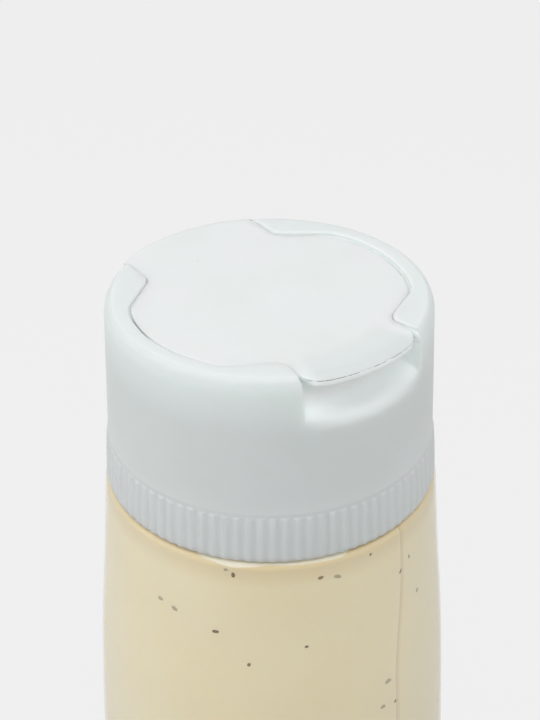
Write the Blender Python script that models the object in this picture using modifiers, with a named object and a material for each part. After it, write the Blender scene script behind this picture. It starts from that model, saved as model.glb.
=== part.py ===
"""Clear squeeze bottle of garlic sauce with a white flip-top cap, at its real size in metres.

The bottle stands on Z = 0 with its axis on Z. The thumb recess of the cap faces -Y and the lid's
hinge is opposite, at +Y. Heights in the cap are measured down from its top.
"""

from math import acos, atan2, cos, pi, radians, sin, sqrt, tan

import bmesh
import bpy
from mathutils import Matrix, Vector

MM = 0.001

# Whole object
HEIGHT = 165 * MM
FIT_GAP = 0.3 * MM

# Cap: a flared skirt, closed by a deck that the lid lies in
CAP_TOP_RADIUS = 25.0 * MM
CAP_FOOT_RADIUS = 26.25 * MM
CAP_HEIGHT = 30.5 * MM
CAP_EDGE_ROUND = 0.9 * MM
SKIRT_WALL = 1.5 * MM
DECK_WALL = 1.5 * MM
CAP_STEPS = 180

# Grip ribs round the foot of the skirt, one for every second step
RIB_BAND = 7.15 * MM
RIB_RELIEF = 0.25 * MM
RIB_END = 0.5 * MM

# Lid: two round lobes and two flaps, let into the cap, which pokes in with four ears
SEAM_GAP = 0.4 * MM
POCKET_DEPTH = 1.75 * MM
LID_TOP_DROP = 0.35 * MM
LID_WALL = 1.1 * MM
LOBE_RADIUS = 21.6 * MM
FRONT_FLAP_HALF = 9.75 * MM
FRONT_FLAP_END = 11.0 * MM
FRONT_EAR_ANGLE = 28.2
FRONT_EAR_REACH = 19.3 * MM
BACK_FLAP_HALF = 12.2 * MM
BACK_FLAP_END = 12.2 * MM
BACK_EAR_ANGLE = 36.9
BACK_EAR_REACH = 19.1 * MM
EAR_ROUND = 2.3 * MM

# Solid shoulder inside the cap, which backs the thumb recess
LEDGE_RADIUS = 19.0 * MM
LEDGE_DROP = 8.6 * MM

# Pouring hole in the deck and the plug under the lid that shuts it
HOLE_RADIUS = 2.2 * MM
PLUG_RADIUS = 1.8 * MM
PLUG_LENGTH = 1.6 * MM

# Thumb recess under the lid's front flap
RECESS_ANGLE = 26.0
RECESS_TOP = 1.6 * MM
RECESS_FOOT = 7.0 * MM
RECESS_DEPTH = 4.5 * MM

# Hinge line of the lid, just outside the wall between the lid and the deck
HINGE_OUT = 25.15 * MM
HINGE_DROP = 1.6 * MM

# Bottle: a body that swells slowly to its widest place, shoulder, neck, heel and raised base
WIDEST_RADIUS = 30.38 * MM
WIDEST_DROP = 113.2 * MM
SWELL = 0.577
BOTTLE_WALL = 1.0 * MM
BODY_TOP_DROP = 32.4 * MM
SHOULDER_ROUND = 1.6 * MM
SHOULDER_FOOT_DROP = 30.85 * MM
SHOULDER_TOP_DROP = 28.5 * MM
NECK_RADIUS = 15.0 * MM
NECK_WALL = 1.5 * MM
HEEL_ROUND = 6.0 * MM
FOOT_RING = 2.5 * MM
BASE_RISE = 3.0 * MM
BOTTLE_STEPS = 48

# Sauce: fills the body up to the shoulder
SAUCE_TOP_DROP = 32.3 * MM
SAUCE_EDGE_ROUND = 1.0 * MM

CAP_TOP = HEIGHT
CAP_FOOT = HEIGHT - CAP_HEIGHT


def clear_scene():
    for thing in list(bpy.data.objects):
        bpy.data.objects.remove(thing, do_unlink=True)


def new_collection(name):
    group = bpy.data.collections.new(name)
    bpy.context.scene.collection.children.link(group)
    return group


def plastic(name, colour, roughness, see_through=0.0):
    material = bpy.data.materials.new(name)
    material.use_nodes = True
    shader = material.node_tree.nodes["Principled BSDF"]
    shader.inputs["Base Color"].default_value = (*colour, 1.0)
    shader.inputs["Roughness"].default_value = roughness
    shader.inputs["Metallic"].default_value = 0.0
    shader.inputs["Transmission Weight"].default_value = see_through
    return material


def place(name, bm, group, material=None):
    """A named object from a finished bmesh, shaded smooth up to 30 degrees."""
    mesh = bpy.data.meshes.new(name)
    bm.to_mesh(mesh)
    bm.free()
    mesh.shade_smooth()
    mesh.set_sharp_from_angle(angle=radians(30))
    thing = bpy.data.objects.new(name, mesh)
    group.objects.link(thing)
    if material:
        mesh.materials.append(material)
    else:
        thing.hide_render = True
        thing.display_type = "WIRE"
    return thing


def arc(centre, radius, start, end, steps, stretch=1.0):
    """Points of an arc in the plane of radius and height, in degrees from the outward axis."""
    points = []
    for k in range(steps + 1):
        angle = radians(start + (end - start) * k / steps)
        points.append((centre[0] + radius * cos(angle), centre[1] + radius * stretch * sin(angle)))
    return points


def loop_of(bm, points):
    """A closed ring of edges through points of the plane of X and Z."""
    verts = [bm.verts.new((x, 0, z)) for x, z in points]
    edges = [bm.edges.new((verts[i - 1], verts[i])) for i in range(len(verts))]
    return verts + edges


def turned(points, steps):
    """A solid of revolution about Z from a closed ring of (radius, height)."""
    bm = bmesh.new()
    ring = loop_of(bm, points)
    bmesh.ops.spin(bm, geom=ring, cent=(0, 0, 0), axis=(0, 0, 1), angle=2 * pi, steps=steps, use_merge=True)
    bmesh.ops.remove_doubles(bm, verts=bm.verts[:], dist=0.001 * MM)
    bmesh.ops.recalc_face_normals(bm, faces=bm.faces[:])
    return bm


def screw_solid(name, points, steps, group, material=None):
    """A turned solid whose profile runs from the axis to the axis, by a Screw modifier."""
    bm = bmesh.new()
    verts = [bm.verts.new((x, 0, z)) for x, z in points]
    for a, b in zip(verts, verts[1:]):
        bm.edges.new((a, b))
    thing = place(name, bm, group, material)
    screw = thing.modifiers.new("turn", "SCREW")
    screw.steps = steps
    screw.render_steps = steps
    screw.use_merge_vertices = True
    screw.merge_threshold = 0.01 * MM
    screw.use_smooth_shade = True
    return thing


def prism(points, low, high):
    """An upright solid on a closed outline of (x, y)."""
    bm = bmesh.new()
    floor = bm.faces.new([bm.verts.new((x, y, low)) for x, y in points])
    raised = bmesh.ops.extrude_face_region(bm, geom=[floor])["geom"]
    tops = [item for item in raised if isinstance(item, bmesh.types.BMVert)]
    bmesh.ops.translate(bm, verts=tops, vec=(0, 0, high - low))
    bmesh.ops.recalc_face_normals(bm, faces=bm.faces[:])
    return bm


def cut(thing, cutter, operation="DIFFERENCE"):
    boolean = thing.modifiers.new(cutter.name, "BOOLEAN")
    boolean.operation = operation
    boolean.object = cutter
    boolean.solver = "EXACT"


def rounded(points, radii, steps=5):
    """The polyline with each corner of nonzero radius replaced by an arc."""
    out = []
    for i, (point, radius) in enumerate(zip(points, radii)):
        if not radius:
            out.append(point)
            continue
        corner = Vector(point)
        back = (Vector(points[i - 1]) - corner).normalized()
        ahead = (Vector(points[i + 1]) - corner).normalized()
        half = back.angle(ahead) / 2
        middle = corner + (back + ahead).normalized() * radius / sin(half)
        first = corner + back * radius / tan(half) - middle
        last = corner + ahead * radius / tan(half) - middle
        turn = (atan2(last.y, last.x) - atan2(first.y, first.x) + pi) % (2 * pi) - pi
        for k in range(steps + 1):
            out.append(tuple(middle + Matrix.Rotation(turn * k / steps, 2) @ first))
    return out


def ear_side(half, end, angle, reach):
    """From beyond the wall along a flap's edge to the ear, and where the ear's side meets the lobe."""
    normal = Vector((sin(radians(angle)), cos(radians(angle))))
    ear = Vector((half, (reach - normal.x * half) / normal.y))
    flare = (end - half) / (CAP_TOP_RADIUS - 2.6 * MM - ear.y)
    beyond = 27.5 * MM
    outer = Vector((half + flare * (beyond - ear.y), beyond))
    meet = radians(angle) + acos(reach / LOBE_RADIUS)
    return outer, ear, meet


def lid_outline(inset):
    """Outline of the lid's pocket, or of the lid itself when inset, both mirrored about Y."""
    front_out, front_ear, front_meet = ear_side(
        FRONT_FLAP_HALF, FRONT_FLAP_END, FRONT_EAR_ANGLE, FRONT_EAR_REACH
    )
    back_out, back_ear, back_meet = ear_side(
        BACK_FLAP_HALF, BACK_FLAP_END, BACK_EAR_ANGLE, BACK_EAR_REACH
    )
    lobe = []
    count = 15
    for k in range(count + 1):
        angle = front_meet + (pi - back_meet - front_meet) * k / count
        lobe.append((LOBE_RADIUS * sin(angle), -LOBE_RADIUS * cos(angle)))
    points = [(front_out.x, -front_out.y), (front_ear.x, -front_ear.y), *lobe]
    points += [(back_ear.x, back_ear.y), (back_out.x, back_out.y)]
    radii = [0, EAR_ROUND, *[0] * len(lobe), EAR_ROUND, 0]
    half = rounded(points, radii)
    whole = half + [(-x, y) for x, y in reversed(half)]
    return [moved_in(whole, i, inset) for i in range(len(whole))]


def moved_in(points, i, inset):
    """Point i of an outline that runs anticlockwise, moved inwards by inset."""
    before = Vector(points[i]) - Vector(points[i - 1])
    after = Vector(points[(i + 1) % len(points)]) - Vector(points[i])
    along = (before.normalized() + after.normalized()).normalized()
    spread = max(0.5, along.dot(after.normalized()))
    inward = Vector((-along.y, along.x)) * inset / spread
    return tuple(Vector(points[i]) + inward)


def skirt_radius(drop):
    """Radius of the cap's wall at a depth below its top."""
    share = (drop - CAP_EDGE_ROUND) / (CAP_HEIGHT - CAP_EDGE_ROUND)
    return CAP_TOP_RADIUS + (CAP_FOOT_RADIUS - CAP_TOP_RADIUS) * share


def body_radius(drop):
    """Radius of the bottle's outside, a slow parabola about its widest place."""
    away = (WIDEST_DROP - drop) / MM
    return WIDEST_RADIUS - SWELL * MM * (away * away / 1000)


def cap_body():
    """The cap before it is cut, with its grip ribs and the pouring hole."""
    edge = (CAP_TOP_RADIUS - CAP_EDGE_ROUND, CAP_TOP - CAP_EDGE_ROUND)
    ceiling = CAP_TOP - POCKET_DEPTH - DECK_WALL
    points = [(HOLE_RADIUS, CAP_TOP), *arc(edge, CAP_EDGE_ROUND, 90, 0, 4)]
    for drop in (RIB_BAND + RIB_END, CAP_HEIGHT / 2, CAP_HEIGHT - RIB_BAND):
        points.append((skirt_radius(drop), CAP_TOP - drop))
    points.append((skirt_radius(CAP_HEIGHT) + RIB_RELIEF / 2, CAP_FOOT + RIB_BAND - RIB_END))
    points.append((skirt_radius(CAP_HEIGHT) + RIB_RELIEF / 2, CAP_FOOT + RIB_END))
    points.append((skirt_radius(CAP_HEIGHT) - RIB_RELIEF / 2, CAP_FOOT))
    points.append((CAP_FOOT_RADIUS - SKIRT_WALL, CAP_FOOT))
    points.append((CAP_TOP_RADIUS - SKIRT_WALL, CAP_TOP - LEDGE_DROP))
    points.append((LEDGE_RADIUS, CAP_TOP - LEDGE_DROP))
    points.append((LEDGE_RADIUS, ceiling))
    points.append((HOLE_RADIUS, ceiling))
    bm = turned(points, CAP_STEPS)
    for vert in bm.verts:
        radius = vert.co.xy.length
        height = vert.co.z - CAP_FOOT
        on_rib = radius > CAP_FOOT_RADIUS and RIB_END / 2 < height < RIB_BAND - RIB_END / 2
        step = round(atan2(vert.co.y, vert.co.x) / (2 * pi / CAP_STEPS))
        if on_rib and step % 2:
            vert.co.xy *= (radius - RIB_RELIEF) / radius
    return bm


def recess_cutter():
    """A hollow quarter oval under the front flap, swept round the cap's axis."""
    wall = skirt_radius(RECESS_TOP)
    beyond = wall + 3 * MM
    rise = RECESS_FOOT - RECESS_TOP
    points = [(beyond, CAP_TOP - RECESS_TOP)]
    points += arc((wall, CAP_TOP - RECESS_TOP), -RECESS_DEPTH, 0, 90, 8, rise / RECESS_DEPTH)
    points.append((beyond, CAP_TOP - RECESS_FOOT))
    bm = bmesh.new()
    verts = [bm.verts.new((x, 0, z)) for x, z in points]
    end = bm.faces.new(verts)
    bmesh.ops.rotate(bm, verts=verts, matrix=Matrix.Rotation(radians(-90 - RECESS_ANGLE), 3, "Z"))
    spun = bmesh.ops.spin(
        bm, geom=[end], cent=(0, 0, 0), axis=(0, 0, 1), angle=radians(2 * RECESS_ANGLE), steps=20
    )
    if not spun["geom_last"]:
        raise ValueError("the recess was not swept")
    bmesh.ops.recalc_face_normals(bm, faces=bm.faces[:])
    return bm


def make_cap(group, cutters, material):
    cap = place("cap", cap_body(), group, material)
    floor = CAP_TOP - POCKET_DEPTH
    pocket = place("pocket", prism(lid_outline(0), floor, CAP_TOP + 2 * MM), cutters)
    recess = place("recess", recess_cutter(), cutters)
    cut(cap, pocket)
    cut(cap, recess)
    return cap


def make_lid(group, cutters, material):
    """The lid, with its origin on the hinge line."""
    top = CAP_TOP - LID_TOP_DROP
    under = top - LID_WALL
    lid = place("flip_lid", prism(lid_outline(SEAM_GAP), under, top), group, material)
    rim = CAP_TOP_RADIUS - 0.05 * MM
    centre = (rim - CAP_EDGE_ROUND, top - CAP_EDGE_ROUND)
    profile = [(0, top), *arc(centre, CAP_EDGE_ROUND, 90, 0, 4), (rim, under - MM), (0, under - MM)]
    disc = screw_solid("lid_round", profile, CAP_STEPS, cutters)
    cut(lid, disc, "INTERSECT")
    plug_profile = [(0, under + MM / 2), (PLUG_RADIUS, under + MM / 2), (PLUG_RADIUS, under - PLUG_LENGTH)]
    plug_profile.append((0, under - PLUG_LENGTH))
    plug = screw_solid("lid_plug", plug_profile, 24, cutters)
    cut(lid, plug, "UNION")
    hinge = Vector((0, HINGE_OUT, CAP_TOP - HINGE_DROP))
    lid.data.transform(Matrix.Translation(-hinge))
    lid.location = hinge
    return lid


def bottle_side(inset):
    """The side from shoulder to heel, top to bottom, at a depth inside the outer face."""
    top = HEIGHT - BODY_TOP_DROP
    corner = (body_radius(BODY_TOP_DROP) - SHOULDER_ROUND, top)
    rise = BODY_TOP_DROP - SHOULDER_FOOT_DROP
    points = arc(corner, SHOULDER_ROUND - inset, 75, 0, 4, (rise - inset) / (SHOULDER_ROUND - inset))
    bottom = HEIGHT - HEEL_ROUND
    count = 9
    for k in range(1, count):
        drop = BODY_TOP_DROP + (bottom - BODY_TOP_DROP) * k / count
        points.append((body_radius(drop) - inset, HEIGHT - drop))
    heel = (body_radius(bottom) - HEEL_ROUND, HEEL_ROUND)
    return points + arc(heel, HEEL_ROUND - inset, 0, -90, 5)


def make_bottle(group, material):
    neck_top = CAP_TOP - POCKET_DEPTH - DECK_WALL - FIT_GAP
    neck_foot = HEIGHT - SHOULDER_TOP_DROP
    ring = body_radius(HEIGHT - HEEL_ROUND) - HEEL_ROUND - FOOT_RING
    outer = [(NECK_RADIUS, neck_top), (NECK_RADIUS, neck_foot + 2 * MM), (NECK_RADIUS + MM, neck_foot)]
    outer += bottle_side(0)
    outer += [(ring, 0), (ring - 3 * MM, BASE_RISE * 0.7), (ring / 2, BASE_RISE), (0, BASE_RISE)]
    bore = NECK_RADIUS - NECK_WALL
    inner = [(bore, neck_top), (bore, neck_foot + MM), (bore + MM, neck_foot - BOTTLE_WALL)]
    inner += bottle_side(BOTTLE_WALL)
    inner += [(ring, BOTTLE_WALL), (ring - 3 * MM, BASE_RISE * 0.7 + BOTTLE_WALL)]
    inner += [(ring / 2, BASE_RISE + BOTTLE_WALL), (0, BASE_RISE + BOTTLE_WALL)]
    return screw_solid("bottle", inner[::-1][:-1] + [inner[0]] + outer, BOTTLE_STEPS, group, material)


def make_sauce(group, material):
    depth = BOTTLE_WALL + FIT_GAP
    top = HEIGHT - SAUCE_TOP_DROP
    side = [point for point in bottle_side(depth) if point[1] < top - SAUCE_EDGE_ROUND]
    rim = body_radius(SAUCE_TOP_DROP) - depth - SAUCE_EDGE_ROUND
    ring = body_radius(HEIGHT - HEEL_ROUND) - HEEL_ROUND - FOOT_RING
    points = [(0, top), *arc((rim, top - SAUCE_EDGE_ROUND), SAUCE_EDGE_ROUND, 90, 0, 3), *side]
    points += [(ring, depth), (ring - 3 * MM, BASE_RISE * 0.7 + depth)]
    points += [(ring / 2, BASE_RISE + depth), (0, BASE_RISE + depth)]
    return screw_solid("sauce", points, BOTTLE_STEPS, group, material)


def main():
    clear_scene()
    part = new_collection("garlic_sauce_bottle")
    cutters = new_collection("cutters")
    white = plastic("white_polypropylene", (0.80, 0.82, 0.82), 0.35)
    clear = plastic("clear_polypropylene", (0.95, 0.95, 0.93), 0.12, 0.9)
    cream = plastic("garlic_sauce", (0.70, 0.62, 0.42), 0.4)
    make_bottle(part, clear)
    make_sauce(part, cream)
    make_cap(part, cutters, white)
    make_lid(part, cutters, white)


main()
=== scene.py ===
"""Clear squeeze bottle of garlic sauce with a white flip-top cap, dressed for a studio picture.

Sizes are in metres, and depths, called drop, are measured down from the cap's top. The angle
called side is measured round the axis from the cap's thumb recess, which faces -Y, towards +X.
"""

import random
from math import acos, atan2, cos, degrees, exp, hypot, pi, radians, sin, sqrt, tan

import bmesh
import bpy
from mathutils import Matrix, Vector


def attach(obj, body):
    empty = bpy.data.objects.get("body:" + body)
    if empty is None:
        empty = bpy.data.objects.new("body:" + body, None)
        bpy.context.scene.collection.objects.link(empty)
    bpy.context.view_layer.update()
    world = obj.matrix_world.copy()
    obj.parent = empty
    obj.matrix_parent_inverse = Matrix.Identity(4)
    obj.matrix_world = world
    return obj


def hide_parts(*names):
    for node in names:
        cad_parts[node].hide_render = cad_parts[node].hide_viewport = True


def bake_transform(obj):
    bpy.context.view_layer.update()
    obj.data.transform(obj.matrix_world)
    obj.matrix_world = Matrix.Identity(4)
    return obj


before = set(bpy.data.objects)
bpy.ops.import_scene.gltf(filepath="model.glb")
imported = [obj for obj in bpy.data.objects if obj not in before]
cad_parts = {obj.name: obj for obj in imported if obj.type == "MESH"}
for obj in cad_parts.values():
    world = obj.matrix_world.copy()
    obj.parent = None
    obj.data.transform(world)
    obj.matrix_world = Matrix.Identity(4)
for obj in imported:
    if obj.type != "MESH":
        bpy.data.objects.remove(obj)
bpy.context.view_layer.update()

MM = 0.001
HEIGHT = 165 * MM

# Turned meshes: steps of a full turn, the sectors that it is copied from, and how points merge
TURN_STEPS = 720
BOTTLE_STEPS = 192
SECTORS = 8
SECTOR_JOIN = 0.001 * MM
JOIN = 0.0005 * MM
SMOOTH_ANGLE = 35

# Cap
WALL_TOP = 25.0 * MM
WALL_FOOT = 25.9 * MM
CAP_HEIGHT = 31.0 * MM
EDGE_OUT = 1.2 * MM
EDGE_DOWN = 2.2 * MM
RING_SOFT = 0.35 * MM
DECK_DROP = 1.75 * MM
CEILING_DROP = 3.25 * MM
LEDGE_RADIUS = 19.0 * MM
LEDGE_DROP = 8.6 * MM
SKIRT_WALL = 1.5 * MM
HOLE_RADIUS = 2.2 * MM
HOLE_EDGE = 0.2 * MM
DECK_EDGE = 0.62 * MM
TAPER_START = 0.9 * MM

# Grip ribs
RIB_COUNT = 90
RIB_TOP_DROP = 23.35 * MM
RIB_RELIEF = 0.15 * MM
RIB_BAND_OUT = 0.17 * MM
RIB_BAND_FOOT = 0.12 * MM
RIB_BAND_START = RIB_TOP_DROP - 1.5 * MM
RIB_BAND_FULL = RIB_TOP_DROP + 2.5 * MM
RIB_TIP = 0.5 * MM
RIB_FOOT_HEIGHT = 0.3 * MM
RIB_FOOT_ROUND = 0.18 * MM

# Thumb recess
RECESS_TOP = 1.6 * MM
RECESS_FOOT_ENDS = 6.0 * MM
RECESS_FOOT_MIDDLE = 7.5 * MM
RECESS_DEPTH = 4.5 * MM
RECESS_HALF_ANGLE = 26.2
RECESS_LAST_DROP = 10.2 * MM
RECESS_BLEND = 1.6 * MM

# The recess's rounded ends: share of its depth by the distance in from its end, in millimetres
RECESS_END = (
    (0, 0), (0.12, 0.02), (0.24, 0.07), (0.36, 0.2), (0.5, 0.5), (0.65, 0.8), (0.9, 0.95), (1.3, 1)
)

# Lid
LID_DROP = 0.35 * MM
LID_WALL = 1.25 * MM
LID_REACH = 24.95 * MM
LOBE_RADIUS = 21.6 * MM
LOBE_GAP = 0.45 * MM
TIGHT_GAP = 0.12 * MM
LIP_CORNER = 4.0 * MM
ROLL_IN = 1.5 * MM
ROLL_DOWN = 0.3 * MM
PLUG_RADIUS = 1.8 * MM
PLUG_DROP = 3.05 * MM
LID_EDGE_BAND = 2.0 * MM
BACK_ROLL_IN = 0.3 * MM
BACK_ROLL_DOWN = 0.18 * MM

# The lid's front lip ends between these angles from the recess's middle, in degrees
LIP_ENDS = (21.5, 25.0)

# Seam of lid and cap, in plain millimetres and degrees. A flap is given by its half width at the
# ears and at its end, the way that an ear's face looks, and how far out that face stands.
FRONT_FLAP = (9.75, 11.0, 28.2, 19.3)
BACK_FLAP = (12.2, 12.2, 36.9, 19.1)
FLAP_END = 22.4
EAR_ROUND = 2.3
CORNER_ROUND = 6.0
LIP_ARC = 16.0
PAST_WALL = 27.5

# Hinge film: its half width, and its section as (out, depth) in millimetres
FILM_HALF = 4.5 * MM
FILM_WALL = 0.35 * MM
FILM_SECTION = ((24.55, 1.0), (24.95, 1.15), (25.12, 1.6), (25.1, 2.3), (25.02, 3.0))

# Bottle
WIDEST_RADIUS = 30.38 * MM
WIDEST_DROP = 113.2 * MM
SWELL = 0.577
BOTTLE_WALL = 0.6 * MM
SAUCE_INSET = 0.25 * MM
BODY_TOP_DROP = 32.8 * MM
SHOULDER_ROUND = 1.6 * MM
SHOULDER_FOOT_DROP = 31.25 * MM
NECK_RADIUS = 15.0 * MM
NECK_WALL = 1.5 * MM
HEEL_ROUND = 6.0 * MM
FOOT_RING = 2.5 * MM
BASE_RISE = 3.0 * MM
BASE_CURVE = 3 * MM

# Slight dip under the shoulder: its depth, and in plain millimetres its middle and its reach
WAIST_DIP = 0.23 * MM
WAIST_MIDDLE = 46
WAIST_REACH = 11

# Shoulder that the sauce has left bare, as (side in degrees, depth of its foot in millimetres)
BARE_SHOULDER = (
    (-66, 31.2), (-59, 31.9), (-49, 32.35), (-44, 32.1),
    (-38, 31.8), (-29, 31.9), (-13, 32.0), (-7, 31.2),
)

# Brightness of the surroundings under and over the horizon, and as the camera sees them
LIGHT_BELOW = 0.37
LIGHT_ABOVE = 0.61
LIGHT_SEEN = 0.886

# Herb flakes: their thickness, and how much larger and, in plain millimetres, how much lower the
# marked ones are made than their table says
FLAKE_THICK = 0.12 * MM
FLAKE_GROW = 1.15
FLAKE_LOWER = 0.35

# Light of its own that the board under the bottle has
BOARD_GLOW = 0.785

# Painted glow: light of its own and a lighter colour given to the white plastic where its thin
# walls, at the recess and elsewhere, are to look lit through, as a share of full white
PAINTED_GLOW = 0.11

# The picture is taken from this side of the thumb recess, in degrees, with the camera this far out
# from the axis and this high, looking down by this angle and rolled a little
PICTURE_SIDE = -36.5
CAMERA_OUT = 216.41 * MM
CAMERA_HEIGHT = 290.17 * MM
CAMERA_DOWN = 32.40
CAMERA_ROLL = -0.5
CAMERA_LENS = 82.63
CAMERA_SHIFT = 0.0004


def height(drop):
    return HEIGHT - drop


def smooth(low, high, value):
    """0 below low, 1 above high and a soft ramp between them."""
    share = min(1.0, max(0.0, (value - low) / (high - low)))
    return share * share * (3 - 2 * share)


def between(a, b, share):
    return a + (b - a) * share


def wall_radius(drop):
    """Radius of the cap's wall at a depth below its top."""
    return WALL_TOP + (WALL_FOOT - WALL_TOP) * (drop - TAPER_START) / (CAP_HEIGHT - TAPER_START)


def body_radius(drop):
    """Radius of the bottle's outside, a slow parabola with a slight dip under the shoulder."""
    away = (WIDEST_DROP - drop) / MM
    dip = WAIST_DIP * exp(-(((drop / MM - WAIST_MIDDLE) / WAIST_REACH) ** 2))
    return WIDEST_RADIUS - SWELL * MM * away * away / 1000 - dip


def arc(centre, wide, tall, start, end, steps):
    """Points of an oval arc in the plane of radius and depth, in degrees from the outward axis."""
    points = []
    for k in range(steps + 1):
        angle = radians(between(start, end, k / steps))
        points.append((centre[0] + wide * cos(angle), centre[1] - tall * sin(angle)))
    return points


def side_of(point):
    """Angle round the axis from -Y, in radians."""
    return atan2(point.x, -point.y)


def turned(profile, steps, closed=True):
    """A line of (radius, depth) spun about Z. Each vertex keeps its number in the profile.

    One sector is spun and then copied round, which is much quicker than one long spin.
    """
    bm = bmesh.new()
    row = bm.verts.layers.int.new("row")
    verts = []
    for k, (radius, drop) in enumerate(profile):
        vert = bm.verts.new((0, -radius, height(drop)))
        vert[row] = k
        verts.append(vert)
    pairs = list(zip(verts, verts[1:]))
    if closed:
        pairs.append((verts[-1], verts[0]))
    edges = [bm.edges.new(pair) for pair in pairs]
    turn = 2 * pi / SECTORS
    bmesh.ops.spin(
        bm, geom=verts + edges, cent=(0, 0, 0), axis=(0, 0, 1), angle=turn, steps=steps // SECTORS
    )
    sector = bm.verts[:] + bm.edges[:] + bm.faces[:]
    for k in range(1, SECTORS):
        copied = bmesh.ops.duplicate(bm, geom=sector)["geom"]
        corners = [item for item in copied if isinstance(item, bmesh.types.BMVert)]
        twist = Matrix.Rotation(turn * k, 3, "Z")
        bmesh.ops.rotate(bm, verts=corners, cent=(0, 0, 0), matrix=twist)
    bmesh.ops.remove_doubles(bm, verts=bm.verts[:], dist=SECTOR_JOIN)
    return bm, row


def finished(name, bm, body, material):
    """A piece from a bmesh, with doubles merged and faces turned outwards.

    It rides on the CAD body, or on none where the caller gives none, as for the hinge film and the
    floor.
    """
    bmesh.ops.remove_doubles(bm, verts=bm.verts[:], dist=JOIN)
    bmesh.ops.recalc_face_normals(bm, faces=bm.faces[:])
    mesh = bpy.data.meshes.new(name)
    bm.to_mesh(mesh)
    bm.free()
    mesh.shade_smooth()
    mesh.set_sharp_from_angle(angle=radians(SMOOTH_ANGLE))
    mesh.materials.append(material)
    piece = bpy.data.objects.new(name, mesh)
    bpy.context.scene.collection.objects.link(piece)
    if body:
        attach(piece, body)
    return piece


def rounded(points, radii):
    """The polyline with each corner of nonzero radius replaced by an arc."""
    steps = 6
    out = []
    for i, (point, radius) in enumerate(zip(points, radii)):
        if not radius:
            out.append(Vector(point))
            continue
        corner = Vector(point)
        back = (Vector(points[i - 1]) - corner).normalized()
        ahead = (Vector(points[i + 1]) - corner).normalized()
        half = back.angle(ahead) / 2
        middle = corner + (back + ahead).normalized() * radius / sin(half)
        first = corner + back * radius / tan(half) - middle
        last = corner + ahead * radius / tan(half) - middle
        turn = (atan2(last.y, last.x) - atan2(first.y, first.x) + pi) % (2 * pi) - pi
        for k in range(steps + 1):
            out.append(middle + Matrix.Rotation(turn * k / steps, 2) @ first)
    return out


def flap_side(half, end, angle, reach, lobe):
    """Where a flap's edge meets its ear, how it flares, and the round corner from ear to lobe.

    Points are (x, forward) in millimetres, with forward towards the flap. The last value is the
    angle at which the corner runs into the lobe.
    """
    face = radians(angle)
    normal = Vector((sin(face), cos(face)))
    ear = Vector((half, (reach - normal.x * half) / normal.y))
    flare = (end - half) / (FLAP_END - ear.y)
    swing = acos((reach - CORNER_ROUND) / (lobe - CORNER_ROUND))
    meet = face + swing
    middle = Vector((sin(meet), cos(meet))) * (lobe - CORNER_ROUND)
    corner = []
    for k in range(9):
        turn = face + swing * k / 8
        corner.append(middle + Vector((sin(turn), cos(turn))) * CORNER_ROUND)
    return ear, flare, corner, meet


def half_outline(gap_lobe, gap_tight, front_end, front_corner):
    """Half of the seam between lid and cap from the front flap to the back, as (x, forward).

    With a front_end, in millimetres, the front flap ends there in an arc, as the lid's does.
    Without one it runs out past the wall, as its place in the cap does.
    """
    tight = gap_tight / MM
    lobe = LOBE_RADIUS / MM - gap_lobe / MM
    front, back = (
        flap_side(half - tight, end - tight, angle, reach - tight, lobe)
        for half, end, angle, reach in (FRONT_FLAP, BACK_FLAP)
    )
    points = []
    radii = []
    ear, flare, corner, meet = front
    if front_end:
        for k in range(9):
            angle = radians(LIP_ARC) * k / 8
            points.append((front_end * sin(angle), front_end * cos(angle)))
            radii.append(0)
        # The flap's edge and the arc cross where each gives the other's place
        x = ear.x
        for _ in range(8):
            forward = sqrt(front_end * front_end - x * x)
            x = ear.x + flare * (forward - ear.y)
        points.append((x, forward))
        radii.append(front_corner)
    else:
        points.append((ear.x + flare * (PAST_WALL - ear.y), PAST_WALL))
        radii.append(0)
    points.append((ear.x, ear.y))
    radii.append(EAR_ROUND)
    points += [tuple(point) for point in corner]
    ear, flare, corner, back_meet = back
    count = 40
    for k in range(1, count):
        angle = between(meet, pi - back_meet, k / count)
        points.append((lobe * sin(angle), lobe * cos(angle)))
    points += [(point.x, -point.y) for point in reversed(corner)]
    radii += [0] * (len(points) - len(radii))
    points.append((ear.x, -ear.y))
    radii.append(EAR_ROUND)
    points += [(ear.x + flare * (PAST_WALL - ear.y), -PAST_WALL), (0, -PAST_WALL)]
    radii += [0, 0]
    return [point * MM for point in rounded(points, radii)]


def polar(outline):
    """Radius of a half outline for each quarter of a degree from the front to the back."""
    count = 721
    table = []
    for k in range(count):
        side = pi * k / (count - 1)
        ray = Vector((sin(side), cos(side)))
        across = Vector((ray.y, -ray.x))
        best = 40 * MM
        for a, b in zip(outline, outline[1:]):
            from_ray = a.dot(across)
            to_ray = b.dot(across)
            if from_ray * to_ray > 0 or from_ray == to_ray:
                continue
            hit = a.lerp(b, from_ray / (from_ray - to_ray)).dot(ray)
            if hit > 0:
                best = min(best, hit)
        table.append(best)
    return table


def look_up(table, side):
    """The radius from a polar table at an angle of either sign."""
    place = abs(side) / pi * (len(table) - 1)
    low = min(len(table) - 2, int(place))
    return between(table[low], table[low + 1], place - low)


SEAM = polar(half_outline(0, 0, None, 0))
LID_EDGE = polar(half_outline(LOBE_GAP, TIGHT_GAP, LID_REACH / MM, LIP_CORNER / MM))


def linear(code):
    """A colour's sRGB hex code as linear red, green, blue and full alpha."""
    values = [int(code[k : k + 2], 16) / 255 for k in (0, 2, 4)]
    return [v / 12.92 if v <= 0.04045 else ((v + 0.055) / 1.055) ** 2.4 for v in values] + [1.0]


def add(tree, kind, inputs=None, links=None, **settings):
    """A node with its settings, the values of its sockets and the links into them."""
    made = tree.nodes.new(kind)
    for key, value in settings.items():
        setattr(made, key, value)
    for key, value in (inputs or {}).items():
        made.inputs[key].default_value = value
    for key, source in (links or {}).items():
        tree.links.new(source, made.inputs[key])
    return made


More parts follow.
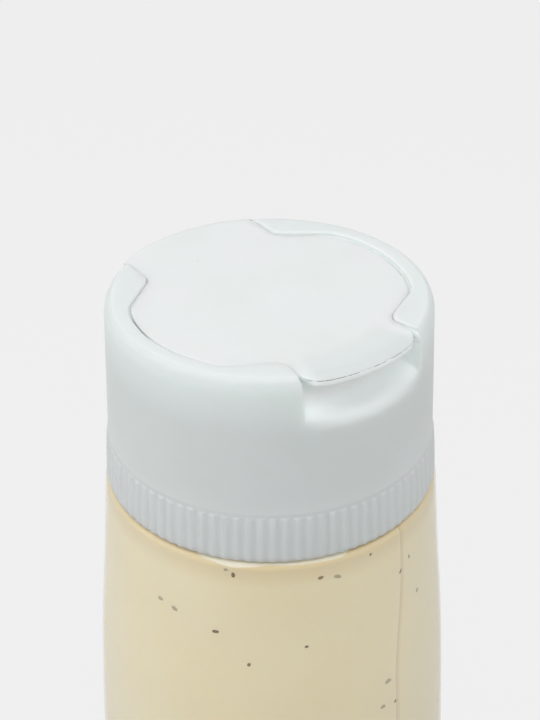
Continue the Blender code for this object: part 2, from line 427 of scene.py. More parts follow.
def ramp_stops(ramp, stops):
    """Sets a colour ramp's stops from (place, hex code or grey)."""
    elements = ramp.color_ramp.elements
    while len(elements) > 1:
        elements.remove(elements[-1])
    for k, (place, value) in enumerate(stops):
        element = elements[0] if k == 0 else elements.new(place)
        element.position = place
        element.color = linear(value) if isinstance(value, str) else (value, value, value, 1.0)


def new_material(name):
    """A material with nodes, its tree and its shader."""
    material = bpy.data.materials.new(name)
    material.use_nodes = True
    tree = material.node_tree
    return material, tree, tree.nodes["Principled BSDF"]


def per_mm(size):
    """Noise scale whose lumps are about this many millimetres across, on Object coordinates."""
    return 1.0 / (size * MM)


def moulded_polypropylene():
    """White injection-moulded polypropylene: cool white, satin, lets a little light in.

    To the eye it is soft at its edges, with a faint mould texture, a few dust specks and a thin
    broken line of sauce and grime where the lid's lip closes. Painted shade darkens its rounded
    edges and ring, and a painted glow stands in for light that comes through its thin walls.
    """
    material, tree, shader = new_material("white_moulded_polypropylene")
    place = {"Vector": add(tree, "ShaderNodeTexCoord").outputs["Object"]}
    cloud = add(tree, "ShaderNodeTexNoise", {"Scale": per_mm(14), "Detail": 2.0}, place)
    tint = add(tree, "ShaderNodeValToRGB", links={"Fac": cloud.outputs["Fac"]})
    ramp_stops(tint, [(0.35, "DDE5E3"), (0.65, "E0E6E5")])
    specks = add(tree, "ShaderNodeTexVoronoi", {"Scale": per_mm(2.6), "Randomness": 1.0}, place)
    near = add(tree, "ShaderNodeValToRGB", links={"Fac": specks.outputs["Distance"]})
    ramp_stops(near, [(0.03, 1.0), (0.055, 0.0)])
    pick = add(tree, "ShaderNodeSeparateColor", links={"Color": specks.outputs["Color"]})
    few = add(
        tree, "ShaderNodeMath", {1: 0.955}, {0: pick.outputs[0]}, operation="GREATER_THAN"
    )
    dust = add(
        tree, "ShaderNodeMath", links={0: near.outputs["Color"], 1: few.outputs[0]},
        operation="MULTIPLY",
    )
    faint = add(tree, "ShaderNodeMath", {1: 0.35}, {0: dust.outputs[0]}, operation="MULTIPLY")
    broken = add(tree, "ShaderNodeTexNoise", {"Scale": per_mm(0.9), "Detail": 3.0}, place)
    gaps = add(tree, "ShaderNodeValToRGB", links={"Fac": broken.outputs["Fac"]})
    ramp_stops(gaps, [(0.4, 0.0), (0.54, 1.0)])
    grime = add(tree, "ShaderNodeAttribute", attribute_name="grime").outputs["Fac"]
    line = add(
        tree, "ShaderNodeMath", links={0: grime, 1: gaps.outputs["Color"]}, operation="MULTIPLY"
    )
    rim = add(tree, "ShaderNodeAttribute", attribute_name="rim").outputs["Fac"]
    thin = add(tree, "ShaderNodeAttribute", attribute_name="painted_glow").outputs["Fac"]
    colour = tint.outputs["Color"]
    # Layers: dust specks, the grime line, then painted shade on edges and ring (rim), then the
    # painted glow
    for share, code in (
        (faint.outputs[0], "7E7C74"),
        (line.outputs[0], "51473A"),
        (rim, "CBCFCF"),
        (thin, "FAFFFE"),
    ):
        layer = add(
            tree, "ShaderNodeMix", {7: linear(code)}, {0: share, 6: colour}, data_type="RGBA"
        )
        colour = layer.outputs[2]
    tree.links.new(colour, shader.inputs["Base Color"])
    # Painted glow: where the attribute is set, the plastic also gives off light of its own,
    # painted in to look lit through
    glow = add(tree, "ShaderNodeMath", {1: PAINTED_GLOW}, {0: thin}, operation="MULTIPLY")
    tree.links.new(glow.outputs[0], shader.inputs["Emission Strength"])
    shader.inputs["Emission Color"].default_value = linear("F2FFFB")
    grain = add(tree, "ShaderNodeTexNoise", {"Scale": per_mm(0.35), "Detail": 2.0}, place)
    rough = add(
        tree, "ShaderNodeMapRange",
        {"From Min": 0.3, "From Max": 0.7, "To Min": 0.44, "To Max": 0.54},
        {"Value": grain.outputs["Fac"]},
    )
    tree.links.new(rough.outputs["Result"], shader.inputs["Roughness"])
    bump = add(
        tree, "ShaderNodeBump", {"Strength": 0.12, "Distance": 0.02 * MM},
        {"Height": grain.outputs["Fac"]},
    )
    tree.links.new(bump.outputs["Normal"], shader.inputs["Normal"])
    shader.inputs["IOR"].default_value = 1.49
    shader.inputs["Specular IOR Level"].default_value = 0.3
    shader.inputs["Subsurface Weight"].default_value = 0.85
    shader.inputs["Subsurface Radius"].default_value = (0.95, 1.1, 1.05)
    shader.inputs["Subsurface Scale"].default_value = 2.8 * MM
    return material


def blown_polypropylene():
    """Clear blown polypropylene: nearly colourless, a touch hazy, glossy from the mould."""
    material, tree, shader = new_material("clear_blown_polypropylene")
    place = {"Vector": add(tree, "ShaderNodeTexCoord").outputs["Object"]}
    haze = add(tree, "ShaderNodeTexNoise", {"Scale": per_mm(9), "Detail": 2.0}, place)
    rough = add(
        tree, "ShaderNodeMapRange",
        {"From Min": 0.3, "From Max": 0.7, "To Min": 0.10, "To Max": 0.16},
        {"Value": haze.outputs["Fac"]},
    )
    tree.links.new(rough.outputs["Result"], shader.inputs["Roughness"])
    graze = add(tree, "ShaderNodeLayerWeight", {"Blend": 0.25})
    veil = add(
        tree, "ShaderNodeMapRange",
        {"From Min": 0.0, "From Max": 1.0, "To Min": 0.03, "To Max": 0.7},
        {"Value": graze.outputs["Facing"]},
    )
    tree.links.new(veil.outputs["Result"], shader.inputs["Alpha"])
    shader.inputs["Base Color"].default_value = linear("E9E6DE")
    shader.inputs["IOR"].default_value = 1.49
    return material


def sauce_cream():
    """Garlic sauce, an emulsion of oil and water: dense pale cream, soft inside, satin where wet.

    The bottle's parting ridge is painted on it: a pale line of painted highlight with a brown line
    of painted shade beside it.
    """
    material, tree, shader = new_material("garlic_sauce_emulsion")
    place = {"Vector": add(tree, "ShaderNodeTexCoord").outputs["Object"]}
    swirl = add(tree, "ShaderNodeTexNoise", {"Scale": per_mm(22), "Detail": 3.0}, place)
    tint = add(tree, "ShaderNodeValToRGB", links={"Fac": swirl.outputs["Fac"]})
    ramp_stops(tint, [(0.35, "FDEEC8"), (0.65, "FFF1CE")])
    spot = add(tree, "ShaderNodeSeparateXYZ", links=place)
    front = add(tree, "ShaderNodeMath", {1: -1.0}, {0: spot.outputs["Y"]}, operation="MULTIPLY")
    side = add(
        tree, "ShaderNodeMath", links={0: spot.outputs["X"], 1: front.outputs[0]},
        operation="ARCTAN2",
    )
    # The line leans from 11.4 degrees at its top to 7 degrees, 23 mm further down
    parting = add(
        tree, "ShaderNodeMapRange",
        {
            "From Min": height(38 * MM), "From Max": height(61 * MM),
            "To Min": radians(11.4), "To Max": radians(7),
        },
        {"Value": spot.outputs["Z"]}, interpolation_type="SMOOTHSTEP",
    )
    off = add(
        tree, "ShaderNodeMath", links={0: side.outputs[0], 1: parting.outputs["Result"]},
        operation="SUBTRACT",
    )
    # From 0.5 mm on one side of it to 1.5 mm on the other, on a radius of 29 mm
    span = {"From Min": -0.5 / 29, "From Max": 1.5 / 29}
    across = add(tree, "ShaderNodeMapRange", span, {"Value": off.outputs[0]}).outputs["Result"]
    # Painted highlight of the parting ridge, and its painted shade beside it
    pale = add(tree, "ShaderNodeValToRGB", links={"Fac": across})
    ramp_stops(pale, [(0.13, 0.0), (0.25, 0.9), (0.34, 0.0)])
    painted_ridge_shade = add(tree, "ShaderNodeValToRGB", links={"Fac": across})
    ramp_stops(painted_ridge_shade, [(0.28, 0.0), (0.38, 0.6), (0.6, 0.4), (0.95, 0.0)])
    shade = add(tree, "ShaderNodeAttribute", attribute_name="shade").outputs["Fac"]
    film = add(tree, "ShaderNodeAttribute", attribute_name="film").outputs["Fac"]
    colour = tint.outputs["Color"]
    for share, code in (
        (pale.outputs["Color"], "FFF7E2"),
        (painted_ridge_shade.outputs["Color"], "E0CFA6"),
        (shade, "B89D62"),
        (film, "F3EBD6"),
    ):
        layer = add(
            tree, "ShaderNodeMix", {7: linear(code)}, {0: share, 6: colour}, data_type="RGBA"
        )
        colour = layer.outputs[2]
    tree.links.new(colour, shader.inputs["Base Color"])
    shader.inputs["Roughness"].default_value = 0.5
    shader.inputs["IOR"].default_value = 1.4
    shader.inputs["Subsurface Weight"].default_value = 0.4
    shader.inputs["Subsurface Radius"].default_value = (1.4, 1.1, 0.7)
    shader.inputs["Subsurface Scale"].default_value = 2.0 * MM
    return material


def herb(name, code, second):
    """Dried parsley in the sauce: small torn flakes in two tones, matt and a little rough."""
    material, tree, shader = new_material(name)
    place = {"Vector": add(tree, "ShaderNodeTexCoord").outputs["Object"]}
    patch = add(tree, "ShaderNodeTexNoise", {"Scale": per_mm(0.5), "Detail": 1.0}, place)
    tint = add(tree, "ShaderNodeValToRGB", links={"Fac": patch.outputs["Fac"]})
    ramp_stops(tint, [(0.4, code), (0.6, second)])
    tree.links.new(tint.outputs["Color"], shader.inputs["Base Color"])
    shader.inputs["Roughness"].default_value = 0.6
    return material


def studio_board():
    """Pale card with a little light of its own, so that the ground stays even round the bottle."""
    material, tree, shader = new_material("pale_studio_board")
    place = {"Vector": add(tree, "ShaderNodeTexCoord").outputs["Object"]}
    fibre = add(tree, "ShaderNodeTexNoise", {"Scale": per_mm(3), "Detail": 2.0}, place)
    tint = add(tree, "ShaderNodeValToRGB", links={"Fac": fibre.outputs["Fac"]})
    ramp_stops(tint, [(0.3, "505050"), (0.7, "525252")])
    tree.links.new(tint.outputs["Color"], shader.inputs["Base Color"])
    shader.inputs["Roughness"].default_value = 0.9
    shader.inputs["Specular IOR Level"].default_value = 0.0
    shader.inputs["Emission Color"].default_value = (1.0, 1.0, 1.0, 1.0)
    shader.inputs["Emission Strength"].default_value = BOARD_GLOW
    return material


def recess_share(side):
    """1 inside the thumb recess, 0 outside it, with soft rounded ends."""
    inward = (radians(RECESS_HALF_ANGLE) - abs(side)) * WALL_TOP / MM
    if inward <= 0:
        return 0.0
    for (a, low), (b, high) in zip(RECESS_END, RECESS_END[1:]):
        if inward < b:
            return between(low, high, (inward - a) / (b - a))
    return 1.0


def recess_profile(count, foot):
    """The cove from the deck down to the wall below it, at even steps, as (radius, depth).

    It is an oval arc down to the foot, a short blend into the wall, and then the wall.
    """
    wall = wall_radius(RECESS_TOP)
    back = wall - RECESS_DEPTH
    points = [(back, DECK_DROP)]
    for k in range(1, 17):
        angle = radians(4.5 * k)
        drop = RECESS_TOP + (foot - RECESS_TOP) * sin(angle)
        points.append((wall - RECESS_DEPTH * cos(angle), drop))
    start = points[-1]
    corner = (wall_radius(foot) - 0.1 * MM, foot + 0.15 * MM)
    end = (wall_radius(foot + RECESS_BLEND), foot + RECESS_BLEND)
    for k in range(1, 13):
        t = k / 12
        radius = (1 - t) ** 2 * start[0] + 2 * t * (1 - t) * corner[0] + t * t * end[0]
        drop = (1 - t) ** 2 * start[1] + 2 * t * (1 - t) * corner[1] + t * t * end[1]
        points.append((radius, drop))
    points.append((wall_radius(RECESS_LAST_DROP), RECESS_LAST_DROP))
    lengths = [0.0]
    for a, b in zip(points, points[1:]):
        lengths.append(lengths[-1] + hypot(b[0] - a[0], b[1] - a[1]))
    even = []
    for k in range(count):
        want = lengths[-1] * k / (count - 1)
        i = max(j for j in range(len(lengths) - 1) if lengths[j] <= want + 1e-9)
        share = (want - lengths[i]) / (lengths[i + 1] - lengths[i])
        even.append(tuple(between(points[i][n], points[i + 1][n], share) for n in (0, 1)))
    return even


def cap_rows():
    """The cap's section from the pouring hole out, down the outside and back up the inside.

    Each row is (kind, first, depth). First is a radius for fixed and edge, a share of the way
    out for deck and flat, millimetres in or out from the seam for pocket and ring, and a number
    in the cove for wall.
    """
    rows = [("fixed", HOLE_RADIUS, CEILING_DROP), ("fixed", HOLE_RADIUS, DECK_DROP + HOLE_EDGE)]
    rows += [("fixed", HOLE_RADIUS + HOLE_EDGE, DECK_DROP)]
    rows += [("deck", share, DECK_DROP) for share in (0.3, 0.6, 0.85, 0.97)]
    rows += [("pocket", DECK_EDGE, DECK_DROP)]
    for drop, back in ((1.25, 0.6), (1.12, 0.56), (0.95, 0.4), (0.7, 0.1), (0.45, 0.0)):
        rows.append(("pocket", back * MM, drop * MM))
    for drop, out in ((0.35, 0.0), (0.2, 0.05), (0.1, 0.12), (0.03, 0.22), (0.0, 0.35)):
        rows.append(("ring", out * MM, drop * MM))
    rows += [("flat", share, 0.0) for share in (0.35, 0.7, 1.0)]
    edge = (WALL_TOP - EDGE_OUT, EDGE_DOWN)
    rows += [("edge", *point) for point in arc(edge, EDGE_OUT, EDGE_DOWN, 80, 0, 8)]
    count = 36
    for k in range(count):
        drop = between(EDGE_DOWN + 0.15 * MM, RECESS_LAST_DROP, k / (count - 1))
        rows.append(("wall", k, drop))
    rows += [("skirt", 0, drop * MM) for drop in (12, 15, 18, 21, 22.6)]
    rib_tops = (22.8, 23.1, 23.3, 23.38, 23.46, 23.56, 23.7, 23.85, 24.1)
    rows += [("rib", 0, drop * MM) for drop in (*rib_tops, 26, 28, 29.6, 30.2, 30.42)]
    rows.append(("rib", 0, CAP_HEIGHT))
    rows += [("fixed", WALL_FOOT - SKIRT_WALL, CAP_HEIGHT)]
    rows += [("fixed", WALL_TOP - SKIRT_WALL, LEDGE_DROP)]
    rows += [("fixed", LEDGE_RADIUS, LEDGE_DROP), ("fixed", LEDGE_RADIUS, CEILING_DROP)]
    return rows


def edge_depth(radius):
    """Depth of the cap's outside at a radius: flat, then the rounded edge."""
    over = (radius - (WALL_TOP - EDGE_OUT)) / EDGE_OUT
    if over <= 0:
        return 0.0
    return EDGE_DOWN * (1 - sqrt(max(0.0, 1 - over * over)))


def rib_height(side, drop):
    """How far a grip rib stands out at a place, with a rounded tip at its top."""
    wave = 0.5 + 0.5 * cos(side * RIB_COUNT)
    bar = smooth(0.0, 1.0, wave)
    rise = min(1.0, max(0.0, (drop - RIB_TOP_DROP) / RIB_TIP))
    tip = sqrt(1 - (1 - rise) ** 2)
    return RIB_RELIEF * bar * tip


def cap_place(kind, first, drop, side, cove):
    """Radius and depth of one vertex of the cap, from its row and its place round the axis.

    Where the seam has run out past the wall, at the lid's flaps, the rows of the rim fold down
    onto the end of the deck.
    """
    seam = look_up(SEAM, side)
    share = recess_share(side)
    open_side = seam >= WALL_TOP - 0.02 * MM
    deck_end = min(seam, WALL_TOP - RECESS_DEPTH * share)
    if kind == "fixed":
        return first, drop
    if kind == "deck":
        return between(HOLE_RADIUS + HOLE_EDGE, deck_end - DECK_EDGE, first), drop
    if kind == "pocket":
        return (deck_end, DECK_DROP) if open_side else (seam - first * (1 - share), drop)
    if kind in ("ring", "flat", "edge"):
        if open_side:
            return deck_end, DECK_DROP
        inner = min(seam + RING_SOFT, WALL_TOP - 0.01 * MM)
        if kind == "ring":
            radius = min(seam + first, WALL_TOP - 0.005 * MM)
            return radius, max(drop, edge_depth(radius))
        if kind == "flat":
            radius = max(inner, between(inner, WALL_TOP - EDGE_OUT, first))
            return radius, edge_depth(radius)
        if first < inner:
            return inner, edge_depth(inner)
        return first + wall_radius(drop) - WALL_TOP, drop
    if kind == "wall":
        outer = (wall_radius(drop), drop)
        if open_side and drop < DECK_DROP:
            outer = (wall_radius(DECK_DROP), DECK_DROP)
        middle = max(0.0, 1 - (degrees(side) / RECESS_HALF_ANGLE) ** 2)
        ends, centre = cove[0][first], cove[1][first]
        inner = (between(ends[0], centre[0], middle), between(ends[1], centre[1], middle))
        return between(outer[0], inner[0], share), between(outer[1], inner[1], share)
    if kind == "rib":
        foot = max(0.0, (drop - (CAP_HEIGHT - RIB_FOOT_HEIGHT)) / RIB_FOOT_HEIGHT)
        band = smooth(RIB_BAND_START, RIB_BAND_FULL, drop) * RIB_BAND_OUT
        band += smooth(RIB_TOP_DROP, CAP_HEIGHT, drop) * RIB_BAND_FOOT
        out = wall_radius(drop) + band + rib_height(side, drop)
        return out - RIB_FOOT_ROUND * foot * foot, drop
    return wall_radius(drop), drop


def spin_radius(k):
    """A stand-in radius for the spin of row k, before its vertices get their places."""
    return 20 * MM + k * MM * 0.01


def make_cap(material):
    """The cap in one piece: skirt, ribs, rim, deck, thumb recess and pouring hole.

    Its tones follow attributes: a painted glow where light is to seem to come through the thin
    walls, and rim, a painted shade on the rounded edge, ring, flat and ribs.
    """
    rows = cap_rows()
    count = sum(kind == "wall" for kind, _, _ in rows)
    cove = [recess_profile(count, foot) for foot in (RECESS_FOOT_ENDS, RECESS_FOOT_MIDDLE)]
    profile = [(spin_radius(k), drop) for k, (_, _, drop) in enumerate(rows)]
    bm, row = turned(profile, TURN_STEPS)
    thin = bm.verts.layers.float.new("painted_glow")
    rim = bm.verts.layers.float.new("rim")
    for vert in bm.verts:
        side = side_of(vert.co)
        kind, first, drop = rows[vert[row]]
        radius, depth = cap_place(kind, first, drop, side, cove)
        # Painted glow in the cove, on the upper wall, in the seam's pocket and at the edge's foot;
        # painted shade (rim) on ribs, ring, flat and rounded edge
        if kind == "wall":
            cove_wall = 1 - smooth(4.0 * MM, 8.0 * MM, depth)
            plain_wall = 0.2 * (1 - smooth(2.0 * MM, 9.5 * MM, depth))
            vert[thin] = between(plain_wall, cove_wall, recess_share(side))
        if kind in ("rib", "ring", "flat"):
            vert[rim] = 0.4
        if kind == "pocket" and 0.6 * MM < drop < 1.6 * MM and depth < DECK_DROP:
            vert[thin] = 0.5
        if kind == "edge":
            vert[rim] = 0.75 * (1 - drop / EDGE_DOWN)
            vert[thin] = 0.2 * smooth(0, EDGE_DOWN, drop)
        vert.co = (radius * sin(side), -radius * cos(side), height(depth))
    cap = finished("cap_moulding", bm, "bottle", material)
    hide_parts("cap")


def lid_rows():
    """The lid's section from the middle of its top, over its edge and back under to the plug.

    Each row is (kind, first, depth), with depths in millimetres below the lid's top. First is a
    share of the way out for top and under, millimetres in from the edge for roll and lip, and a
    radius in millimetres for plug.
    """
    rows = [("top", share, 0.0) for share in (0.0, 0.25, 0.5, 0.75)]
    for inset in (2.0, 1.5, 1.25, 1.0, 0.75, 0.5, 0.3, 0.15, 0.05, 0.0):
        rows.append(("roll", inset, 0.0))
    for back, drop in ((0.0, 0.31), (0.02, 0.35), (0.03, 0.41), (0.03, 0.45)):
        rows.append(("lip", back, drop))
    rows += [("lip", 0.5, 1.05), ("lip", 0.62, 1.19), ("lip", 0.68, 1.25)]
    rows += [("under", share, LID_WALL / MM) for share in (0.9, 0.5, 0.25)]
    rows += [("plug", PLUG_RADIUS / MM, LID_WALL / MM)]
    rows += [("plug", PLUG_RADIUS / MM, PLUG_DROP / MM - 0.75)]
    rows += [("plug", PLUG_RADIUS / MM - 0.3, (PLUG_DROP - LID_DROP) / MM)]
    rows += [("plug", 0.0, (PLUG_DROP - LID_DROP) / MM)]
    return rows


def front_share(side):
    """1 along the lid's front lip, 0 past its ends."""
    return 1 - smooth(*LIP_ENDS, degrees(abs(side)))


def lid_place(kind, first, drop, side):
    """Radius of one vertex of the lid, its depth below the lid's own top, and its grime."""
    edge = look_up(LID_EDGE, side)
    if abs(side) > pi / 2:
        edge = min(edge, LID_REACH)
    front = front_share(side)
    roll_in = between(BACK_ROLL_IN, ROLL_IN, front)
    roll_down = between(BACK_ROLL_DOWN, ROLL_DOWN, front)
    if kind == "top":
        return (edge - LID_EDGE_BAND) * first, 0.0, 0.0
    if kind == "roll":
        inset = first * MM
        over = max(0.0, 1 - inset / roll_in)
        return edge - inset, roll_down * (1 - sqrt(max(0.0, 1 - over * over))), 0.0
    if kind == "lip":
        depth = max(roll_down, drop * MM)
        back = first if first < 0.1 else between(first, (first - 0.5) * 0.4, front)
        grime = front if 0.3 < drop < 0.43 else 0.0
        return edge - back * MM, depth, grime
    if kind == "under":
        return (edge - 0.8 * MM) * first, drop * MM, 0.0
    return first * MM, drop * MM, 0.0


def make_lid(material):
    """The lid with its lobes, flaps, rolled front lip and plug, closed."""
    rows = lid_rows()
    profile = [(spin_radius(k), 0) for k in range(len(rows))]
    bm, row = turned(profile, TURN_STEPS, closed=False)
    dirt = bm.verts.layers.float.new("grime")
    thin = bm.verts.layers.float.new("painted_glow")
    rim = bm.verts.layers.float.new("rim")
    for vert in bm.verts:
        side = side_of(vert.co)
        kind, first, drop = rows[vert[row]]
        radius, depth, grime = lid_place(kind, first, drop, side)
        vert[dirt] = grime
        # Painted shade (rim) on the top near the front lip, and a painted glow on the lip's lower
        # strip
        if kind in ("top", "roll"):
            near_lip = 1 - smooth(19, 27, degrees(abs(side)))
            vert[rim] = near_lip * smooth(16 * MM, 25 * MM, radius)
        if kind == "lip" and drop > 0.43:
            vert[thin] = 0.55 * front_share(side)
        vert.co = (radius * sin(side), -radius * cos(side), height(LID_DROP + depth))
    lid = finished("lid_moulding", bm, "lid", material)
    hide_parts("flip_lid")


def make_hinge_film(material):
    """The thin moulded film that the lid bends on, from its back edge to the cap's wall."""
    bm = bmesh.new()
    verts = [bm.verts.new((-FILM_HALF, out * MM, height(drop * MM))) for out, drop in FILM_SECTION]
    edges = [bm.edges.new(pair) for pair in zip(verts, verts[1:])]
    made = bmesh.ops.extrude_edge_only(bm, edges=edges)["geom"]
    moved = [item for item in made if isinstance(item, bmesh.types.BMVert)]
    bmesh.ops.translate(bm, verts=moved, vec=(2 * FILM_HALF, 0, 0))
    bmesh.ops.recalc_face_normals(bm, faces=bm.faces[:])
    bmesh.ops.solidify(bm, geom=bm.faces[:], thickness=FILM_WALL)
    # The whole film gets the painted glow, a lighter colour and light of its own
    thin = bm.verts.layers.float.new("painted_glow")
    for vert in bm.verts:
        vert[thin] = 1.0
    film = finished("hinge_film", bm, None, material)
    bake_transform(film)


def body_side(inset, shoulder_steps=8):
    """The bottle's side from shoulder to heel, as (radius, depth), at a depth inside its face."""
    corner = (body_radius(BODY_TOP_DROP) - SHOULDER_ROUND, BODY_TOP_DROP)
    rise = BODY_TOP_DROP - SHOULDER_FOOT_DROP
    points = arc(corner, SHOULDER_ROUND - inset, rise - inset, 75, 0, shoulder_steps)
    bottom = HEIGHT - HEEL_ROUND
    count = 40
    for k in range(1, count):
        drop = between(BODY_TOP_DROP, bottom, k / count)
        points.append((body_radius(drop) - inset, drop))
    heel = (body_radius(bottom) - HEEL_ROUND, bottom)
    return points + arc(heel, HEEL_ROUND - inset, HEEL_ROUND - inset, 0, -90, 10)


def base(inset):
    """The bottle's raised base from its foot ring to its middle, at a depth inside its face."""
    ring = body_radius(HEIGHT - HEEL_ROUND) - HEEL_ROUND - FOOT_RING
    rise = HEIGHT - BASE_RISE - inset
    slope = (ring - BASE_CURVE, HEIGHT - BASE_RISE * 0.7 - inset)
    return [(ring, HEIGHT - inset), slope, (ring / 2, rise), (0, rise)]


def make_bottle(material):
    """The clear bottle, inside and out, with a plain neck under the cap."""
    neck_top = CEILING_DROP + 0.3 * MM
    neck_foot = 28.5 * MM
    outer = [(NECK_RADIUS, neck_top), (NECK_RADIUS, neck_foot - 2 * MM)]
    outer += [(NECK_RADIUS + MM, neck_foot)]
    outer += body_side(0) + base(0)
    bore = NECK_RADIUS - NECK_WALL
    inner = [(bore, neck_top), (bore, neck_foot - MM), (bore + MM, neck_foot + BOTTLE_WALL)]
    inner += body_side(BOTTLE_WALL) + base(BOTTLE_WALL)
    bm, _ = turned(inner[::-1] + outer, BOTTLE_STEPS, closed=False)
    bottle = finished("bottle_shell", bm, "bottle", material)
    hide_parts("bottle")


def film_foot(side):
    """Depth down to which the sauce has left the shoulder bare, or 0 where it hasn't."""
    angle = degrees(side)
    for (a, low), (b, high) in zip(BARE_SHOULDER, BARE_SHOULDER[1:]):
        if a <= angle <= b:
            return between(low, high, smooth(a, b, angle)) * MM
    return 0.0


def make_sauce(material):
    """The sauce, which reaches just into the wall so that no air shows between them.

    Two attributes give its tones: film on the bare shoulder, shade where the cap darkens it.
    """
    side = body_side(SAUCE_INSET, 24)
    edge, top = side[0]
    points = [(0, top), (12 * MM, top), (edge - 0.3 * MM, top), *side, *base(SAUCE_INSET)]
    bm, _ = turned(points, 2 * BOTTLE_STEPS, closed=False)
    film = bm.verts.layers.float.new("film")
    shade = bm.verts.layers.float.new("shade")
    for vert in bm.verts:
        foot = film_foot(side_of(vert.co))
        drop = HEIGHT - vert.co.z
        below = smooth(CAP_HEIGHT + 0.25 * MM, CAP_HEIGHT + 0.45 * MM, drop)
        vert[film] = below * (1 - smooth(foot - 0.06 * MM, foot + 0.06 * MM, drop))
        from_cap = 0.38 * smooth(31.3 * MM, 31.9 * MM, drop)
        down_wall = 0.42 * smooth(32.2 * MM, 33.5 * MM, drop)
        vert[shade] = 0.8 - from_cap - down_wall
    sauce = finished("sauce_fill", bm, "bottle", material)
    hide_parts("sauce")


def flake(bm, rng, side, drop, long, wide, tilt, depth):
    """One torn flake of herb at the sauce's face, moved out or in by a depth."""
    made = bmesh.ops.create_icosphere(bm, subdivisions=1, radius=0.5)["verts"]
    radius = body_radius(drop) - SAUCE_INSET + depth
    for vert in made:
        jag = rng.uniform(0.75, 1.2)
        vert.co.x *= wide * jag
        vert.co.z *= long * jag
        vert.co.y *= FLAKE_THICK
    lean = Matrix.Rotation(tilt, 4, "Y")
    spot = Matrix.Rotation(side, 4, "Z") @ Matrix.Translation((0, -radius, height(drop))) @ lean
    bmesh.ops.transform(bm, matrix=spot, verts=made)


def make_herbs(dark, veiled):
    """Herb flakes: those that show in the picture where they are, and the same kind all round.

    A marked flake is (side in degrees, depth, length, width), the rest in millimetres.
    """
    rng = random.Random(41)
    clear = (
        (-49, 33.4, 1.0, 0.6), (-20.5, 34.3, 0.7, 0.9), (-2, 32.9, 0.6, 0.5),
        (11.5, 39.4, 0.9, 0.45), (-55, 44.4, 0.7, 1.1), (-44, 49.8, 0.8, 0.5),
        (-25.5, 46.7, 0.5, 0.6), (7, 64.0, 0.7, 0.6),
    )
    soft = (
        (-14.5, 34.8, 0.7, 1.5), (-70, 42.6, 1.0, 1.2), (-76, 42.0, 0.9, 1.3),
        (16.5, 38.0, 1.1, 0.6), (4, 58.9, 1.0, 1.3), (1.5, 63.5, 0.9, 1.2),
        (-51.5, 32.6, 0.6, 0.7), (21, 46.0, 1.0, 0.8),
    )
    for name, material, marks, count, depth in (
        ("herb_flakes", dark, clear, 46, 0.0),
        ("veiled_herb_flakes", veiled, soft, 60, -0.015 * MM),
    ):
        bm = bmesh.new()
        for side, drop, long, wide in marks:
            tilt = rng.uniform(-0.6, 0.6)
            flake(
                bm, rng, radians(side), (drop + FLAKE_LOWER) * MM, FLAKE_GROW * long * MM,
                FLAKE_GROW * wide * MM, tilt, depth,
            )
        for _ in range(count):
            side = radians(rng.uniform(-180, 180))
            drop = rng.uniform(36, 156) * MM
            # The part that shows in the picture has its own flakes already
            if radians(-125) < side < radians(48) and drop < 74 * MM:
                continue
            flake(
                bm, rng, side, drop, rng.uniform(0.5, 1.2) * MM, rng.uniform(0.4, 1.0) * MM,
                rng.uniform(-1.5, 1.5), depth,
            )
        piece = finished(name, bm, "bottle", material)


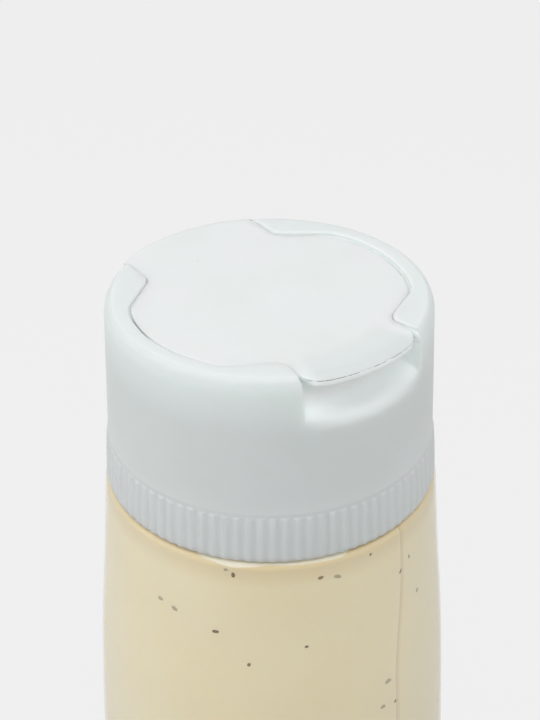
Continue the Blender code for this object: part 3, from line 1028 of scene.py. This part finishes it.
def studio():
    """The pale floor, the even surroundings and the soft lights."""
    bm = bmesh.new()
    bmesh.ops.create_grid(bm, x_segments=8, y_segments=8, size=3.0)
    floor = finished("floor", bm, None, studio_board())
    floor.visible_diffuse = False
    world = bpy.data.worlds.new("soft_surroundings")
    bpy.context.scene.world = world
    world.use_nodes = True
    tree = world.node_tree
    direction = add(tree, "ShaderNodeTexCoord").outputs["Generated"]
    up = add(tree, "ShaderNodeSeparateXYZ", links={"Vector": direction}).outputs["Z"]
    dome = add(
        tree, "ShaderNodeMapRange",
        {"From Min": -0.1, "From Max": 0.15, "To Min": LIGHT_BELOW, "To Max": LIGHT_ABOVE},
        {"Value": up},
    )
    seen = add(tree, "ShaderNodeLightPath").outputs["Is Camera Ray"]
    pale = add(
        tree, "ShaderNodeMix", {3: LIGHT_SEEN}, {0: seen, 2: dome.outputs["Result"]},
        data_type="FLOAT",
    )
    tree.links.new(pale.outputs[0], tree.nodes["Background"].inputs["Strength"])
    tree.nodes["Background"].inputs["Color"].default_value = (1.0, 1.0, 1.0, 1.0)
    turn = Matrix.Rotation(radians(PICTURE_SIDE), 4, "Z")
    lit_point = Vector((0, 0, 0.1))
    for name, size, spot, power in (
        ("front_softbox", 0.8, (0.0, -0.4, 0.95), 3.6),
        ("left_softbox", 0.6, (-0.75, -0.2, 0.6), 2.35),
        ("right_softbox", 0.6, (0.75, -0.2, 0.6), 1.05),
    ):
        lamp = bpy.data.lights.new(name, "AREA")
        lamp.shape = "DISK"
        lamp.size = size
        lamp.energy = power
        light = bpy.data.objects.new(name, lamp)
        bpy.context.scene.collection.objects.link(light)
        place = turn @ Vector(spot)
        aim = (place - lit_point).to_track_quat("Z", "Y").to_matrix().to_4x4()
        light.matrix_world = Matrix.Translation(place) @ aim


def picture_camera():
    """The camera of the picture: 0.25 m from the cap's top, looking 32 degrees down on it."""
    data = bpy.data.cameras.new("picture_camera")
    data.sensor_width = 36.0
    data.lens = CAMERA_LENS
    data.shift_x = CAMERA_SHIFT
    data.clip_start = 0.01
    data.clip_end = 20.0
    camera = bpy.data.objects.new("picture_camera", data)
    bpy.context.scene.collection.objects.link(camera)
    turn = Matrix.Rotation(radians(PICTURE_SIDE), 4, "Z")
    place = turn @ Vector((0, -CAMERA_OUT, CAMERA_HEIGHT))
    tilt = Matrix.Rotation(radians(90 - CAMERA_DOWN), 4, "X")
    roll = Matrix.Rotation(radians(CAMERA_ROLL), 4, "Z")
    camera.matrix_world = Matrix.Translation(place) @ turn @ tilt @ roll
    bpy.context.scene.camera = camera


def main():
    white = moulded_polypropylene()
    clear = blown_polypropylene()
    cream = sauce_cream()
    make_cap(white)
    make_lid(white)
    make_hinge_film(white)
    make_bottle(clear)
    make_sauce(cream)
    parsley = herb("dried_parsley", "6E5A38", "94815A")
    parsley_under = herb("parsley_under_sauce", "B3A98A", "C6BA98")
    make_herbs(parsley, parsley_under)
    studio()
    picture_camera()
    bpy.context.scene.view_settings.view_transform = "Standard"


main()
